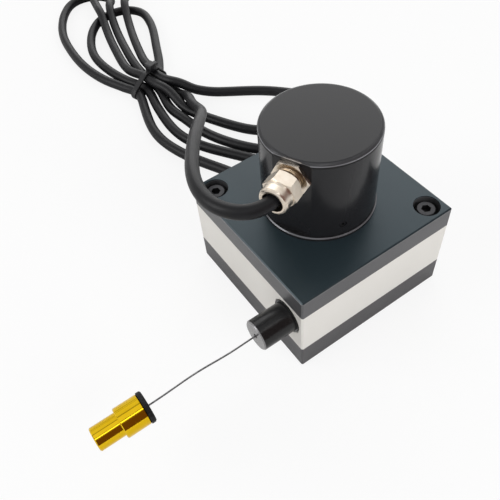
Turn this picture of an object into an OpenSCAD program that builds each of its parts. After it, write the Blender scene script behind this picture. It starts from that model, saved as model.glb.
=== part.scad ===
// Draw wire encoder: a spring-wound wire drum in a square metal housing, a round encoder
// on top of it, a wire that leaves through a nozzle, and a cable from the encoder's gland.
// Millimetres, +Z up. The origin is the centre of the base plate's underside, on the drum's
// axis. The wire leaves along -Y.

/* [Housing] */
// Side of the square housing
body_w = 64; // [62:1:70]
// Thickness of the dark base plate
base_t = 11; // [10:0.5:13]
// Height of the silver frame between the two plates
frame_t = 19.5; // [19.5:0.5:24]
// Thickness of the dark top plate
top_t = 8.5; // [8:0.5:10]
// Distance from the centre to each corner screw, along X and Y
screw_pos = 26; // [25.5:0.25:27]
// Spacing of the tapped fixing holes in the underside, along X and Y
fixing_pitch = 34; // [30:1:36]

/* [Wire and drum] */
// Length of wire wound off by one turn of the drum
turn_length = 150; // [145:1:154]
// Diameter of the wire rope
wire_d = 0.6; // [0.5:0.1:0.7]
// Spacing of the turns of wire on the drum
wire_pitch = 0.8; // [0.8:0.05:1]
// Bare wire between the nozzle and the end fitting
wire_out = 40; // [20:1:80]

/* [Nozzle and end fitting] */
// Height of the wire above the underside
wire_z = 22.8; // [21:0.1:23]
// Diameter of the nozzle
nozzle_d = 11; // [9:0.5:12]
// How far the nozzle stands out of the frame's face
nozzle_len = 12.8; // [8:0.2:16]
// Diameter of the end fitting's wide part
fitting_d = 10.1; // [9.5:0.1:12]
// Length of the end fitting's wide part
fitting_len = 8.1; // [7:0.1:12]
// Diameter of the end fitting's narrow part
tail_d = 7.8; // [7:0.1:8.5]
// Length of the end fitting's narrow part
tail_len = 8.4; // [7:0.1:12]

/* [Encoder] */
// Diameter of the encoder's flange
flange_d = 40; // [39.5:0.5:42]
// Diameter of the encoder's cap
cap_d = 39; // [38.5:0.25:39]
// Height of the cap's top above the top plate
cap_rise = 33.7; // [33:0.1:38]
// Radius of the cap's top edge
cap_edge_r = 1.4; // [0.8:0.1:2]
// Direction of the cable gland round the cap, in degrees
gland_angle = -66; // [-75:1:-55]

/* [Cable] */
// Diameter of the cable
cable_d = 4.8; // [4.4:0.1:5]

/* [Hidden] */
// Fine and coarse roundness
$fn = 72;
fine = 48;
small = 28;

// Size of the chamfers along the housing's edges
plate_edge = 0.5;

// Levels
frame_z = base_t;
top_z = base_t + frame_t;
plate_z = top_z + top_t;
cap_z = plate_z + cap_rise;

// Radial room for a screw in its own thread or hole
thread_gap = 0.06;
hole_gap = 0.25;
// Room beside a piece that turns
turn_gap = 0.3;

// Drum, wound between two flanges, and the cavity it turns in
wind_gap = 0.18;
pitch_r = turn_length / (2 * PI);
winding_r = pitch_r - wire_d / 2 - wind_gap;
drum_flange_r = pitch_r + 1.8;
drum_room = 1.8;
cavity_r = drum_flange_r + drum_room;
winding_turns = 7;
winding_margin = 0.6;
winding_h = winding_turns * wire_pitch + 2 * winding_margin;
drum_flange_t = 1.4;
winding_top = wire_z + winding_h / 2;
winding_bottom = wire_z - winding_h / 2;
drum_z = winding_bottom - drum_flange_t;
drum_top = winding_top + drum_flange_t;
wire_leave_z = winding_top - winding_margin - wire_d / 2;
web_t = 3;
web_z = drum_z + web_t;
boss_r = 10;
rim_t = 2.5;
neck_r = 6;
encoder_shaft_r = 3;
drum_shaft_r = 4;
shaft_seat = 4;
drum_hole_r = 4;
drum_hole_pcr = 15.2;
set_screw_r = 1.5;
set_screw_len = 6;
set_screw_land = 0.4;
set_screw_z = drum_z + shaft_seat + set_screw_land + set_screw_r;

// Ball bearings: [bore radius, outer radius, width, ball radius, balls]
lower_brg = [4, 8, 4, 1.2, 9];
upper_brg = [6, 10.5, 5, 1.4, 11];
encoder_brg = [3, 6.5, 4, 1.1, 8];
lower_brg_z = 2.2;
upper_brg_z = top_z;
encoder_brg_z = [plate_z + 3, plate_z + 9];
ball_gap = 0.05;

// Power spring and its case
case_z = 6.4;
case_wall = 0.8;
case_r = cavity_r - 1;
case_gap = 0.1;
case_h = 7.2;
arbor_r = 5.5;
arbor_slot = 0.8;
spring_t = 0.3;
spring_turns = 9;
spring_steps = 20;
spring_gap = 0.2;
spring_in = arbor_r + 0.5;
spring_out = case_r - case_wall - spring_t;
spring_h = case_h - 2 * case_wall - 2 * spring_gap;

// Corner screws: two come down through the top plate, two come up through the base
head_r = 3.5;
head_h = 4;
head_bore_r = 4.6;
head_sink = 1.3;
screw_r = 2;
hex_af = 3;
hex_depth = 2;
screw_floor = 2;
base_screw_reach = 6;
tip_gap = 1;
top_corners = [[1, 1], [-1, -1]];
base_corners = [[1, -1], [-1, 1]];

// Tapped holes: in the underside and in the end fitting
tap_r = 2;
fixing_depth = 5;
tap_depth = 7;

// Nozzle: it stands in a spot face on a stem, with its bush and wiper put in from behind
nozzle_r = nozzle_d / 2;
nozzle_edge = 0.4;
spot_depth = 0.5;
collar_r = nozzle_r + 0.7;
collar_t = spot_depth + 0.4;
spot_r = collar_r + 0.3;
face_y = -body_w / 2;
nozzle_root_y = face_y + spot_depth;
nozzle_tip_y = face_y - nozzle_len;
nozzle_h = nozzle_len + spot_depth;
stem_r = 4;
stem_len = 9;
passage_r = 2.5;
mouth_r = 0.9;
mouth_t = 0.5;
bush_r = 2.5;
bush_len = 5;
wiper_len = 3;
wire_hole_r = 0.8;

// End fitting, from its rubber buffer outwards
buffer_t = 1.6;
buffer_r = fitting_d / 2 + 0.25;
buffer_edge = 0.4;
buffer_y = nozzle_tip_y - wire_out;
fitting_y = buffer_y - buffer_t;
step_y = fitting_y - fitting_len;
tail_y = step_y - tail_len;
wire_room = 0.1;
ferrule_seat = 2;
ferrule_r = 1.2;
ferrule_len = 4;

// Wire: level off the drum, then slanting to the nozzle's line
level_y = -5;
bend_y = nozzle_root_y + stem_len + 0.5;
wire_sides = 8;
wire_route = [
    [pitch_r, -0.4, wire_leave_z], [pitch_r, level_y, wire_leave_z],
    [pitch_r, bend_y, wire_z], [pitch_r, fitting_y - ferrule_seat - ferrule_len, wire_z]
];

// Encoder: flange, gasket and cap. The cap has one flat, milled down its whole side.
pilot_r = 10;
pilot_h = 2.5;
flange_t = 1.3;
flange_edge = 0.35;
gasket_t = 0.5;
gasket_z = plate_z + flange_t;
cap_base_z = gasket_z + gasket_t;
cap_r = cap_d / 2;
flat_dist = cap_r - 1.15;
cap_seat_r = flat_dist - 1;
cap_inner_r = cap_seat_r - 0.6;
cap_roof = 1.6;
seat_gap = 0.05;
cap_screw_z = cap_base_z + 4.4;
cap_screw_angles = [-15, 105, 225];
cap_screw_r = 1;
cap_screw_len = 4.8;
cap_screw_sink = 0.2;
spigot_z = cap_screw_z + 2;
flange_bore_r = encoder_shaft_r + 1;
bearing_tube_r = encoder_brg[1] + 1.5;
flange_screw_angles = [50, 170, 290];
flange_screw_r = 1.5;
flange_screw_head_r = 2.75;
cap_room = 0.5;
flange_screw_pcr = cap_inner_r - cap_room - flange_screw_head_r;
flange_screw_head_h = 3;
flange_screw_seat = plate_z + 3.6;
flange_screw_reach = 5;

// Inside the cap: hub, disc, and a board that stands on three posts just under the gland
gland_z = cap_z - 7.7;
gland_thread_r = 4.2;
board_t = 1.4;
board_z = gland_z - gland_thread_r - board_t - 0.2;
board_r = cap_inner_r - 0.4;
post_r = 1.6;
post_pcr = cap_inner_r - cap_room - post_r;
hub_z = plate_z + 15;
hub_r = 5;
disc_seat_r = 3.6;
disc_room = 0.6;
disc_r = post_pcr - post_r - disc_room;
disc_t = 0.8;
disc_z = hub_z + 2.5;
hub_top = disc_z + disc_t + 0.8;
sensor_reach = 4.4;
sensor_w = 8;
sensor_air = 0.8;
post_screw_r = 1;
post_angles = [100, 220, 340];
socket_size = [6, 10, 4];
socket_wall = 1;

// Gland, measured outwards from the cap's flat
gland_flange_af = 11.7;
gland_flange_t = 1.4;
gland_nut_af = 10.2;
gland_nut_len = 4.6;
gland_thread_len = 2;
gland_stub = 2.1;
gland_flange_turn = 35;
gland_nut_turn = 18;
gland_tip_d = 9.7;
gland_tip_len = 3.8;
gland_mouth_r = cable_d / 2 + 1.1;
gland_nut_z = gland_flange_t + gland_thread_len;
gland_tip_z = gland_nut_z + gland_nut_len;
gland_body_len = gland_tip_z - 0.6;
seal_r = cable_d / 2 + 1;
seal_len = 3.6;

// Cable: its route from inside the gland down to the top of the hank
lead_route = [
    [8.1, -18.2, 65], [10.6, -23.8, 65], [12.5, -28.2, 65], [12.3, -33, 64.9], [9.2, -37.8, 64.6],
    [3.5, -41, 64.2], [-2.5, -41.8, 63.6], [-10, -40.5, 62.6], [-18, -37.3, 60.8], [-29, -31, 57],
    [-40, -24.3, 52], [-51, -17.3, 46], [-62, -10.5, 38.8], [-73, -4, 31], [-84, 2, 23],
    [-95, 6.5, 15.4], [-105, 9, 10]
];
lead_sides = 8;

// Hank: outline of the loops on both sides of the tie, and the gap in the middle of the
// nearer ones, where the cable's stripped end lies
hank_outline = [
    [-40, 22], [-39, 50], [-48, 67], [-62, 72], [-84, 62], [-114, 31], [-132, 13], [-146, 11],
    [-158, 18], [-202, 35], [-230, 35], [-245, 46.5], [-256, 45], [-262, 37], [-262, 27],
    [-252, 11], [-247, 2], [-231, -9], [-213, -15], [-180, -16.5], [-156, -10.5], [-141, -4],
    [-124, -9.5], [-100, -13], [-68, -2], [-48, 7]
];
hank_gap = [[-63.6, 27.8], [-58.4, 24.2], [-50, 28], [-46, 38], [-50, 46], [-58, 46], [-65, 38]];
hank_round = 3;
hank_h = 9.6;
tie_pos = [-144, 3.5];
tie_angle = 17;
tie_half = 9.8;
tie_band = 0.9;
tie_w = 3.2;
tie_head = [5.2, 4.4, 3.4];

// Cores that fan out of the cable's stripped end, into the gap
tail_end = [-61, 26, cable_d / 2];
tail_heading = 55;
core_r = 0.6;
core_len = 16;
core_start = 0.3;
core_fan = [-16, -8, 0, 8, 16];

// A closed ring of a profile: outer and inner radius, height
module ring(r_out, r_in, h, z = 0) {
    translate([0, 0, z])
        difference() {
            cylinder(r = r_out, h = h);
            translate([0, 0, -1]) cylinder(r = r_in, h = h + 2);
        }
}

// A square plate from z up, its upright edges chamfered, and those round one face too if asked
module plate(z, t, face_z = undef) {
    corner = (body_w - plate_edge) / sqrt(2);
    difference() {
        intersection() {
            translate([-body_w / 2, -body_w / 2, z]) cube([body_w, body_w, t]);
            rotate(45) translate([-corner, -corner, z]) cube([2 * corner, 2 * corner, t]);
        }
        if (face_z != undef)
            for (a = [0 : 90 : 270])
                rotate(a) translate([body_w / 2, 0, face_z]) rotate([0, 45, 0])
                    cube([plate_edge * sqrt(2), body_w + 2, plate_edge * sqrt(2)], center = true);
    }
}

// Places children at the chosen corner screws, at height z
module at_corners(corners, z) {
    for (c = corners) translate([c[0] * screw_pos, c[1] * screw_pos, z]) children();
}

// A socket head cap screw along -Z, with its head's seat at the origin
module cap_screw(head_r, head_h, shank_r, shank_len, hex_af, hex_depth) {
    edge = head_h * 0.12;
    difference() {
        union() {
            cylinder(r = head_r, h = head_h - edge, $fn = small);
            translate([0, 0, head_h - edge])
                cylinder(r1 = head_r, r2 = head_r - edge, h = edge, $fn = small);
            translate([0, 0, -shank_len]) cylinder(r = shank_r, h = shank_len, $fn = small);
        }
        translate([0, 0, head_h - hex_depth]) hex_hole(hex_af, hex_depth);
    }
}

// A socket for a hexagon key, cut down to z = 0
module hex_hole(af, depth) {
    cylinder(d = af / cos(30), h = depth + 1, $fn = 6);
}

// A tube round a route: each point's ring of corners stands square to the line through its
// neighbours, and faces join the rings and close both ends
function unit(v) = v / norm(v);
function route_dir(r, i) = unit(r[min(i + 1, len(r) - 1)] - r[max(i - 1, 0)]);
function tube_points(r, radius, sides) =
    [for (i = [0 : len(r) - 1], k = [0 : sides - 1])
        let (d = route_dir(r, i), side = unit(cross([0, 0, 1], d)), up = cross(d, side),
             a = 360 * (k + 0.5) / sides)
        r[i] + radius * (cos(a) * side + sin(a) * up)];
function tube_faces(rings, sides) = concat(
    [[for (k = [sides - 1 : -1 : 0]) k]],
    [for (i = [0 : rings - 2], k = [0 : sides - 1])
        let (a = i * sides + k, b = i * sides + (k + 1) % sides) [a, b, b + sides, a + sides]],
    [[for (k = [0 : sides - 1]) (rings - 1) * sides + k]]
);

module tube(route, radius, sides) {
    polyhedron(points = tube_points(route, radius, sides), faces = tube_faces(len(route), sides));
}

// The three pieces of a ball bearing, from its bottom face up
function brg_mid(b) = (b[0] + b[1]) / 2;

function race_depth(b) = b[3] * 0.62;

module race_groove(b) {
    translate([0, 0, b[2] / 2])
        rotate_extrude($fn = fine) translate([brg_mid(b), 0]) circle(r = b[3] + ball_gap, $fn = small);
}

module bearing_outer(b) {
    difference() {
        ring(b[1], brg_mid(b) + race_depth(b), b[2]);
        race_groove(b);
    }
}

module bearing_inner(b) {
    difference() {
        ring(brg_mid(b) - race_depth(b), b[0], b[2]);
        race_groove(b);
    }
}

module bearing_balls(b) {
    for (i = [0 : b[4] - 1])
        rotate(i * 360 / b[4]) translate([brg_mid(b) + ball_gap, 0, b[2] / 2])
            sphere(r = b[3], $fn = small);
}

// Places children at the gland, with +Z pointing out along its axis from the cap's flat
module at_gland() {
    rotate(gland_angle) translate([flat_dist, 0, gland_z]) rotate([0, 90, 0]) children();
}

// Places children on the wire's line, with +Z pointing out along the wire from a given y
module on_wire(y) {
    translate([pitch_r, y, wire_z]) rotate([90, 0, 0]) children();
}

// ---- Housing ----

module base_plate() {
    color([0.16, 0.16, 0.17])
        difference() {
            plate(0, base_t, 0);
            translate([0, 0, case_z]) cylinder(r = case_r + case_gap, h = base_t);
            translate([0, 0, lower_brg_z]) cylinder(r = lower_brg[1], h = base_t);
            at_corners(top_corners, screw_floor)
                cylinder(r = screw_r + thread_gap, h = base_t, $fn = small);
            at_corners(base_corners, 0) {
                translate([0, 0, -1]) cylinder(r = head_bore_r, h = head_h + head_sink + 1, $fn = fine);
                cylinder(r = screw_r + hole_gap, h = base_t + 1, $fn = small);
            }
            for (x = [-1, 1], y = [-1, 1])
                translate([x * fixing_pitch / 2, y * fixing_pitch / 2, -1])
                    cylinder(r = tap_r, h = fixing_depth + 1, $fn = small);
        }
}

module housing_frame() {
    color([0.86, 0.86, 0.85])
        difference() {
            plate(frame_z, frame_t);
            translate([0, 0, frame_z - 1]) cylinder(r = cavity_r, h = frame_t + 2);
            at_corners(top_corners, frame_z - 1)
                cylinder(r = screw_r + hole_gap, h = frame_t + 2, $fn = small);
            at_corners(base_corners, frame_z - 1)
                cylinder(r = screw_r + thread_gap, h = base_screw_reach + tip_gap + 1, $fn = small);
            on_wire(nozzle_root_y) cylinder(r = spot_r, h = spot_depth + 1);
            on_wire(nozzle_root_y + stem_len)
                cylinder(r = stem_r + thread_gap, h = stem_len + 1, $fn = fine);
            on_wire(0) cylinder(r = passage_r, h = -nozzle_root_y, $fn = fine);
        }
}

module top_plate() {
    color([0.13, 0.15, 0.16])
        difference() {
            plate(top_z, top_t, plate_z);
            translate([0, 0, top_z - 1]) cylinder(r = upper_brg[1], h = upper_brg[2] + 1);
            translate([0, 0, top_z]) cylinder(r = upper_brg[1] - 2.5, h = top_t + 1);
            translate([0, 0, plate_z - pilot_h]) cylinder(r = pilot_r, h = pilot_h + 1);
            at_corners(top_corners, top_z - 1)
                cylinder(r = screw_r + hole_gap, h = top_t + 2, $fn = small);
            at_corners(top_corners, plate_z - head_h - head_sink)
                cylinder(r = head_bore_r, h = head_h + head_sink + 1, $fn = fine);
            for (a = flange_screw_angles)
                rotate(a) translate([flange_screw_pcr, 0, plate_z - flange_screw_reach])
                    cylinder(r = flange_screw_r + thread_gap, h = flange_screw_reach + 1, $fn = small);
        }
}

module housing_screws() {
    seat = plate_z - head_h - head_sink;
    color([0.1, 0.1, 0.1])
        at_corners(top_corners, seat)
            cap_screw(head_r, head_h, screw_r, seat - screw_floor - tip_gap, hex_af, hex_depth);
}

module base_screws() {
    seat = head_h + head_sink;
    color([0.1, 0.1, 0.1])
        at_corners(base_corners, seat) rotate([180, 0, 0])
            cap_screw(head_r, head_h, screw_r, base_t - seat + base_screw_reach, hex_af, hex_depth);
}

// ---- Nozzle ----

module wire_nozzle() {
    color([0.1, 0.1, 0.1])
        on_wire(nozzle_root_y)
            difference() {
                union() {
                    cylinder(r = nozzle_r, h = nozzle_h - nozzle_edge);
                    translate([0, 0, nozzle_h - nozzle_edge])
                        cylinder(r1 = nozzle_r, r2 = nozzle_r - nozzle_edge, h = nozzle_edge);
                    cylinder(r = collar_r, h = collar_t);
                    translate([0, 0, -stem_len]) cylinder(r = stem_r, h = stem_len, $fn = fine);
                }
                translate([0, 0, -stem_len - 1])
                    cylinder(r = bush_r, h = stem_len + 1 + nozzle_h - mouth_t, $fn = fine);
                cylinder(r = mouth_r, h = nozzle_h + 1, $fn = small);
            }
}

module nozzle_guide_bush() {
    flare = 0.7;
    color([0.95, 0.94, 0.9])
        on_wire(nozzle_root_y)
            translate([0, 0, nozzle_h - mouth_t - bush_len])
                difference() {
                    cylinder(r = bush_r, h = bush_len, $fn = fine);
                    translate([0, 0, -1]) cylinder(r = wire_hole_r, h = bush_len + 2, $fn = small);
                    cylinder(r1 = wire_hole_r + flare, r2 = wire_hole_r, h = flare, $fn = small);
                }
}

module dust_wiper() {
    color([0.35, 0.33, 0.3])
        on_wire(nozzle_root_y)
            ring(bush_r, wire_d / 2 + turn_gap, wiper_len, nozzle_h - mouth_t - bush_len - wiper_len);
}

// ---- Spring motor ----

module spring_case() {
    color([0.62, 0.63, 0.65])
        difference() {
            translate([0, 0, case_z]) cylinder(r = case_r, h = case_h);
            translate([0, 0, case_z + case_wall]) cylinder(r = case_r - case_wall, h = case_h);
            translate([0, 0, case_z - 1]) cylinder(r = arbor_r + 1.5, h = case_h);
        }
}

module spring_case_cover() {
    color([0.7, 0.71, 0.73])
        ring(case_r, arbor_r + 1, case_wall, case_z + case_h);
}

// A flat strip wound in a spiral: its outer turns lie close together against the case's wall,
// and its inner end is bent into the arbor's slot
function spiral_r(u) = spring_in + (spring_out - spring_in) * pow(u, 0.8);
function spiral_point(i, side) =
    let (a = 360 * i / spring_steps, r = spiral_r(i / (spring_steps * spring_turns)) + side)
    [r * cos(a), r * sin(a)];

module power_spring() {
    last = spring_steps * spring_turns;
    tab_start = drum_shaft_r + spring_gap;
    color([0.35, 0.4, 0.5])
        translate([0, 0, case_z + case_wall + spring_gap])
            linear_extrude(spring_h)
                polygon([
                    [tab_start, -spring_t], [tab_start, 0],
                    for (i = [0 : last]) spiral_point(i, 0),
                    for (i = [last : -1 : 0]) spiral_point(i, spring_t),
                    [spring_in + spring_t, -spring_t]
                ]);
}

// ---- Bearings ----

module lower_bearing_outer_ring() {
    color([0.75, 0.76, 0.78]) translate([0, 0, lower_brg_z]) bearing_outer(lower_brg);
}

module lower_bearing_balls() {
    color([0.85, 0.86, 0.88]) translate([0, 0, lower_brg_z]) bearing_balls(lower_brg);
}

module lower_bearing_inner_ring() {
    color([0.7, 0.71, 0.73]) translate([0, 0, lower_brg_z]) bearing_inner(lower_brg);
}

module upper_bearing_outer_ring() {
    color([0.75, 0.76, 0.78]) translate([0, 0, upper_brg_z]) bearing_outer(upper_brg);
}

module upper_bearing_balls() {
    color([0.85, 0.86, 0.88]) translate([0, 0, upper_brg_z]) bearing_balls(upper_brg);
}

module upper_bearing_inner_ring() {
    color([0.7, 0.71, 0.73]) translate([0, 0, upper_brg_z]) bearing_inner(upper_brg);
}

module encoder_bearing_outer_rings() {
    color([0.75, 0.76, 0.78])
        for (z = encoder_brg_z) translate([0, 0, z]) bearing_outer(encoder_brg);
}

module encoder_bearing_balls() {
    color([0.85, 0.86, 0.88])
        for (z = encoder_brg_z) translate([0, 0, z]) bearing_balls(encoder_brg);
}

module encoder_bearing_inner_rings() {
    color([0.7, 0.71, 0.73])
        for (z = encoder_brg_z) translate([0, 0, z]) bearing_inner(encoder_brg);
}

// ---- Drum ----

module drum_shaft() {
    color([0.72, 0.73, 0.75])
        translate([0, 0, lower_brg_z])
            cylinder(r = drum_shaft_r, h = drum_z + shaft_seat - lower_brg_z, $fn = fine);
}

module spring_arbor() {
    arbor_z = lower_brg_z + lower_brg[2];
    color([0.55, 0.56, 0.58])
        difference() {
            ring(arbor_r, drum_shaft_r, drum_z - arbor_z, arbor_z, $fn = fine);
            translate([drum_shaft_r - 1, -arbor_slot / 2, arbor_z - 1]) cube([arbor_r, arbor_slot, drum_z]);
        }
}

module wire_drum() {
    color([0.9, 0.9, 0.88])
        difference() {
            union() {
                translate([0, 0, drum_z]) cylinder(r = drum_flange_r, h = drum_flange_t);
                translate([0, 0, winding_bottom]) cylinder(r = winding_r, h = winding_h);
                translate([0, 0, winding_top]) cylinder(r = drum_flange_r, h = drum_flange_t);
                translate([0, 0, drum_z]) cylinder(r = neck_r, h = upper_brg_z + upper_brg[2] - drum_z);
            }
            ring(winding_r - rim_t, boss_r, drum_top - web_z + 1, web_z);
            for (a = [30 : 60 : 330])
                rotate(a) translate([drum_hole_pcr, 0, drum_z - 1])
                    cylinder(r = drum_hole_r, h = web_t + 2, $fn = small);
            translate([0, 0, drum_z - 1]) cylinder(r = drum_shaft_r, h = shaft_seat + 1, $fn = fine);
            translate([0, 0, drum_z + shaft_seat]) cylinder(r = encoder_shaft_r, h = plate_z, $fn = fine);
            for (a = [0, 90])
                rotate(a) translate([0, 0, set_screw_z]) rotate([0, 90, 0])
                    cylinder(r = set_screw_r, h = boss_r + 1, $fn = small);
        }
}

module drum_set_screws() {
    color([0.12, 0.12, 0.12])
        for (a = [0, 90])
            rotate(a) translate([encoder_shaft_r, 0, set_screw_z]) rotate([0, 90, 0])
                difference() {
                    cylinder(r = set_screw_r, h = set_screw_len, $fn = small);
                    translate([0, 0, set_screw_len - 2]) hex_hole(set_screw_r, 2);
                }
}

// Wire on the drum: a helix that leaves the drum at its top turn and goes down from there
helix_steps = 30;
helix_sides = 6;
helix_rings = winding_turns * helix_steps;
helix_start = 1.5;
function helix_point(i, k) =
    let (a = helix_start + 360 * i / helix_steps, b = 360 * k / helix_sides,
         r = pitch_r + wire_d / 2 * cos(b))
    [r * cos(a), r * sin(a), wire_leave_z - wire_pitch * i / helix_steps + wire_d / 2 * sin(b)];

module wire_winding() {
    color([0.6, 0.61, 0.62])
        polyhedron(
            points = [for (i = [0 : helix_rings - 1], k = [0 : helix_sides - 1]) helix_point(i, k)],
            faces = tube_faces(helix_rings, helix_sides)
        );
}

// ---- Wire and its end ----

module draw_wire() {
    color([0.6, 0.61, 0.62]) tube(wire_route, wire_d / 2, wire_sides);
}

module stop_buffer() {
    color([0.07, 0.07, 0.07])
        on_wire(buffer_y)
            difference() {
                union() {
                    translate([0, 0, buffer_edge]) cylinder(r = buffer_r, h = buffer_t - buffer_edge);
                    cylinder(r1 = buffer_r - buffer_edge, r2 = buffer_r, h = buffer_edge);
                }
                translate([0, 0, -1]) cylinder(r = wire_d / 2 + wire_room, h = buffer_t + 2, $fn = small);
            }
}

module wire_end_fitting() {
    edge = 0.3;
    wide = fitting_d / 2;
    narrow = tail_d / 2;
    length = fitting_len + tail_len;
    profile = [
        [0, 0], [wide - edge, 0], [wide, edge], [wide, fitting_len - edge],
        [wide - edge, fitting_len], [narrow, fitting_len],
        [narrow, length - edge], [narrow - edge, length], [0, length]
    ];
    color([0.86, 0.68, 0.14])
        on_wire(fitting_y)
            difference() {
                rotate_extrude() polygon(profile);
                translate([0, 0, -1]) cylinder(r = wire_d / 2 + wire_room, h = fitting_len, $fn = small);
                translate([0, 0, ferrule_seat]) cylinder(r = ferrule_r, h = length, $fn = small);
                translate([0, 0, length - tap_depth]) cylinder(r = tap_r, h = tap_depth + 1, $fn = fine);
            }
}

module wire_ferrule() {
    color([0.75, 0.55, 0.3])
        on_wire(fitting_y) ring(ferrule_r, wire_d / 2, ferrule_len, ferrule_seat);
}

// ---- Encoder ----

// Places children on a row of screws that run along Z, or on the radial screws of the cap
module at_flange_screws(z) {
    for (a = flange_screw_angles) rotate(a) translate([flange_screw_pcr, 0, z]) children();
}

module at_cap_screws(r) {
    for (a = cap_screw_angles) rotate(a) translate([r, 0, cap_screw_z]) rotate([0, 90, 0]) children();
}

module at_posts(z) {
    for (a = post_angles) rotate(a) translate([post_pcr, 0, z]) children();
}

module encoder_flange() {
    color([0.2, 0.2, 0.21])
        difference() {
            union() {
                translate([0, 0, plate_z - pilot_h]) cylinder(r = pilot_r, h = pilot_h);
                translate([0, 0, plate_z]) cylinder(r = flange_d / 2, h = flange_t - flange_edge);
                translate([0, 0, gasket_z - flange_edge])
                    cylinder(r1 = flange_d / 2, r2 = flange_d / 2 - flange_edge, h = flange_edge);
                translate([0, 0, plate_z]) cylinder(r = cap_seat_r - seat_gap, h = spigot_z - plate_z);
                translate([0, 0, plate_z]) cylinder(r = bearing_tube_r, h = hub_z - plate_z - 1);
            }
            translate([0, 0, plate_z - pilot_h - 1]) cylinder(r = flange_bore_r, h = hub_z, $fn = fine);
            translate([0, 0, encoder_brg_z[0]]) cylinder(r = encoder_brg[1], h = hub_z);
            at_flange_screws(plate_z - 1)
                cylinder(r = flange_screw_r + hole_gap, h = spigot_z, $fn = small);
            at_flange_screws(flange_screw_seat)
                cylinder(r = flange_screw_head_r + hole_gap, h = spigot_z, $fn = small);
            at_cap_screws(cap_r - cap_screw_len - cap_screw_sink - hole_gap)
                cylinder(r = cap_screw_r + thread_gap, h = cap_r, $fn = small);
        }
}

module flange_screws() {
    shank = flange_screw_seat - plate_z + flange_screw_reach - hole_gap;
    color([0.75, 0.76, 0.78])
        at_flange_screws(flange_screw_seat)
            cap_screw(flange_screw_head_r, flange_screw_head_h, flange_screw_r, shank, 2.5, 1.5);
}

module encoder_shaft() {
    bottom = drum_z + shaft_seat + 0.5;
    color([0.74, 0.75, 0.77])
        translate([0, 0, bottom]) cylinder(r = encoder_shaft_r, h = hub_top - bottom, $fn = fine);
}

module disc_hub() {
    color([0.8, 0.8, 0.78])
        difference() {
            union() {
                translate([0, 0, hub_z]) cylinder(r = hub_r, h = disc_z - hub_z, $fn = fine);
                translate([0, 0, disc_z]) cylinder(r = disc_seat_r, h = hub_top - disc_z, $fn = fine);
            }
            translate([0, 0, hub_z - 1]) cylinder(r = encoder_shaft_r, h = hub_top, $fn = fine);
        }
}

module code_disc() {
    color([0.7, 0.8, 0.85, 0.6]) ring(disc_r, disc_seat_r, disc_t, disc_z);
}

// Reads the disc's edge from above and below, and hangs from the board
module sensor_head() {
    outer = disc_r + 1.9;
    color([0.12, 0.12, 0.13])
        rotate(160)
            difference() {
                translate([disc_r - sensor_reach, -sensor_w / 2, hub_z])
                    cube([outer - disc_r + sensor_reach, sensor_w, board_z - hub_z]);
                translate([0, -sensor_w, disc_z - sensor_air])
                    cube([disc_r + 0.6, 2 * sensor_w, disc_t + 2 * sensor_air]);
            }
}

module circuit_board() {
    color([0.1, 0.36, 0.2])
        difference() {
            translate([0, 0, board_z]) cylinder(r = board_r, h = board_t);
            at_posts(board_z - 1) cylinder(r = post_screw_r + 0.1, h = board_t + 2, $fn = small);
        }
}

module board_posts() {
    tap = 5;
    color([0.8, 0.7, 0.4])
        difference() {
            at_posts(spigot_z) cylinder(r = post_r, h = board_z - spigot_z, $fn = small);
            at_posts(board_z - tap) cylinder(r = post_screw_r + thread_gap, h = tap + 1, $fn = small);
        }
}

module board_screws() {
    color([0.75, 0.76, 0.78])
        at_posts(board_z + board_t) cap_screw(1.8, 1.6, post_screw_r, board_t + 4, 1.3, 0.9);
}

module board_socket() {
    color([0.93, 0.92, 0.88])
        rotate(gland_angle)
            translate([3, -socket_size[1] / 2, board_z + board_t])
                difference() {
                    cube(socket_size);
                    translate([socket_wall, socket_wall, socket_wall])
                        cube(socket_size - [0, 2 * socket_wall, 1.6 * socket_wall]);
                }
}

module cap_gasket() {
    color([0.05, 0.05, 0.05]) ring(cap_r + 0.1, cap_seat_r, gasket_t, gasket_z);
}

module encoder_cap() {
    h = cap_z - cap_base_z;
    profile = concat(
        [[0, 0], [cap_r, 0]],
        [for (a = [0 : 15 : 90]) [cap_r, h] + cap_edge_r * [cos(a) - 1, sin(a) - 1]],
        [[0, h]]
    );
    color([0.14, 0.14, 0.15])
        difference() {
            translate([0, 0, cap_base_z]) rotate_extrude($fn = 96) polygon(profile);
            translate([0, 0, cap_base_z - 1]) {
                cylinder(r = cap_seat_r, h = spigot_z - cap_base_z + 1, $fn = 96);
                cylinder(r = cap_inner_r, h = h + 1 - cap_roof, $fn = 96);
            }
            at_gland() translate([-cap_rise, -cap_r, 0]) cube([2 * cap_rise, 2 * cap_r, cap_r]);
            at_gland() translate([0, 0, -4]) cylinder(r = gland_thread_r + thread_gap, h = 5, $fn = fine);
            at_cap_screws(cap_inner_r - 1) cylinder(r = cap_screw_r + hole_gap, h = cap_r, $fn = small);
        }
}

module cap_screws() {
    color([0.3, 0.3, 0.31])
        at_cap_screws(cap_r - cap_screw_len - cap_screw_sink)
            difference() {
                cylinder(r = cap_screw_r, h = cap_screw_len, $fn = small);
                translate([0, 0, cap_screw_len - 0.8]) hex_hole(0.9, 0.8);
            }
}

// ---- Gland ----

// A hexagon rounded off at its corners by a slightly larger disc
module hex_piece(af, h, corner = 0.35) {
    flat_r = af / 2 + 0.1;
    corner_r = af / cos(30) / 2;
    intersection() {
        cylinder(r = corner_r, h = h, $fn = 6);
        rotate_extrude($fn = fine)
            polygon([[0, 0], [flat_r, 0], [corner_r, corner], [corner_r, h - corner], [flat_r, h], [0, h]]);
    }
}

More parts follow.
